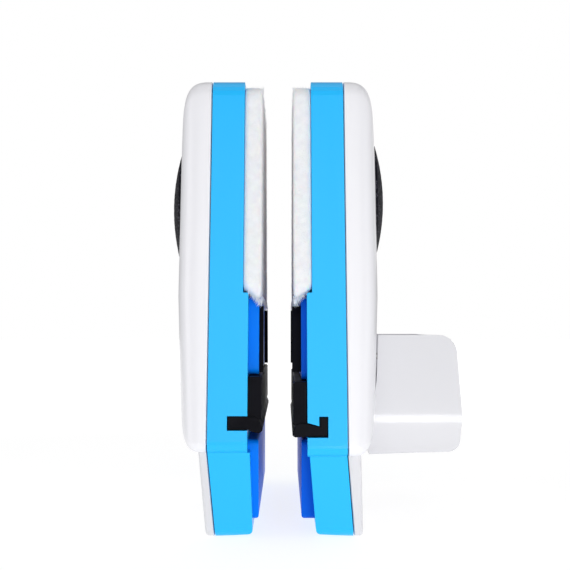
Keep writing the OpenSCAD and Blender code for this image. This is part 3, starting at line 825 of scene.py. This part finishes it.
def face_fibres(side, rng, bm):
    """Short fibres that lie over the pad's face."""
    for _ in range(FACE_FIBRES):
        z = rng.uniform(PAD_BOTTOM_Z + 1, PAD_TOP_Z - 2)
        y = rng.uniform(-1, 1) * (side_hw(z) - 3)
        root = place(side, FACE_ROOT_U, y, z)
        end_u = rng.uniform(SHORTEST_U, FACE_TIP_U)
        tip = place(side, end_u, y + rng.uniform(-1, 1), z + rng.uniform(-1, 1))
        fibre(bm, root, tip, rng.uniform(*FACE_WIDTH) * MM, Vector((0, 0, 0)))


def corner_strands(side, end, bm):
    """Clumped strands that fan out below one lower corner, longest close to the pane."""
    rng = random.Random(CORNER_SEED[end])
    for _ in range(CORNER_STRANDS):
        u = STRAND_FIRST_U + rng.random() ** 1.5 * (PAD_T - STRAND_BACK_ROOM)
        y = end * (side_hw(PAD_BOTTOM_Z) - PAD_INSET - rng.uniform(0.3, 4))
        z = PAD_BOTTOM_Z - pile_sag(side, u, y, PAD_BOTTOM_Z) + STRAND_ROOT
        length = rng.uniform(0.5, 1.2) + rng.uniform(0.3, 2.2) * (1 - u / PAD_T)
        end_u = max(SHORTEST_U, u + rng.uniform(-0.5, 0.9) * length)
        bend = Vector((rng.uniform(-0.2, 0.2), 0, rng.uniform(-0.2, 0.2))) * MM
        tip = place(side, end_u, y + end * rng.uniform(-0.4, 0.4), z - length)
        fibre(bm, place(side, u, y, z), tip, rng.uniform(*STRAND_WIDTH) * MM, bend)


def add_pad(side):
    """The fleece pad with its loose fibres. The order of the random draws fixes its look."""
    bm = bmesh.new()
    rng = random.Random(EDGE_SEED[side])
    pad_block(side, bm)
    edge_fibres(side, rng, bm)
    face_fibres(side, rng, bm)
    for end in (1, -1):
        corner_strands(side, end, bm)
    pad = to_object(bm, f"{side}_fleece_pad", f"{side}_half", "fleece", 80, [f"{side}_pad"])


# ---------------------------------------------------------------- CAD nodes that keep their shape

WELD_DISTANCE = 0.000002
FLAT_ANGLE, BEVEL_ANGLE = 0.6, 30


def finish_node(node, slot, bevel, segments=3):
    """Gives a CAD node its material, and softens its edges as a mould would."""
    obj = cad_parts[node]
    for entry in obj.material_slots:
        entry.material = MATERIALS[slot]
    if bevel:
        weld = obj.modifiers.new("weld", "WELD")
        weld.merge_threshold = WELD_DISTANCE
        flat = obj.modifiers.new("flat", "DECIMATE")
        flat.decimate_type, flat.angle_limit = "DISSOLVE", math.radians(FLAT_ANGLE)
        edge = obj.modifiers.new("edge", "BEVEL")
        edge.width, edge.segments = bevel * MM, segments
        edge.limit_method, edge.angle_limit = "ANGLE", math.radians(BEVEL_ANGLE)
        edge.use_clamp_overlap = True
        edge.harden_normals = True


# Each half's nodes: material and bevel in mm.
NODE_FINISH = {
    "base_frame": ("frame_blue", 0.35),
    # The beds take the darker copy of the frame's blue: painted shade.
    "upper_bed": ("bed_blue", 0.3),
    "lower_bed": ("bed_blue", 0.3),
    "main_blade": ("blade_rubber", 0.2),
    "side_lips": ("blade_rubber", 0.15),
    "hook_strip": ("hook_fabric", 0),
    "magnets": ("magnet_metal", 0.4),
    "yoke_plate": ("yoke_steel", 0.2),
    "cord_eyelet": ("eyelet_plastic", 0.15),
    "case_screws": ("screw_steel", 0),
}
# The inner beds take a still darker copy of the beds' blue: painted shade for the deeper shadow
# they lie in.
SIDE_LOOKS = {(INNER, "bed_blue"): "bed_deeper_shaded_blue"}


def add_floor():
    bpy.ops.mesh.primitive_plane_add(size=FLOOR_SIZE, location=(0, 0, CHIN_Z * MM))
    floor = bpy.context.object
    floor.name = "floor"
    floor.data.materials.append(floor_material())


# ---------------------------------------------------------------- assembly

add_camera()
set_world()
add_lights()
add_floor()

for side in SIDES:
    add_shell(side)
    add_grip_dome(side)
    add_pad(side)
    for part, (slot, bevel) in NODE_FINISH.items():
        finish_node(f"{side}_{part}", SIDE_LOOKS.get((side, slot), slot), bevel)
finish_node("handle", "handle_white", 1.2, segments=4)
finish_node("handle_screws", "screw_steel", 0)
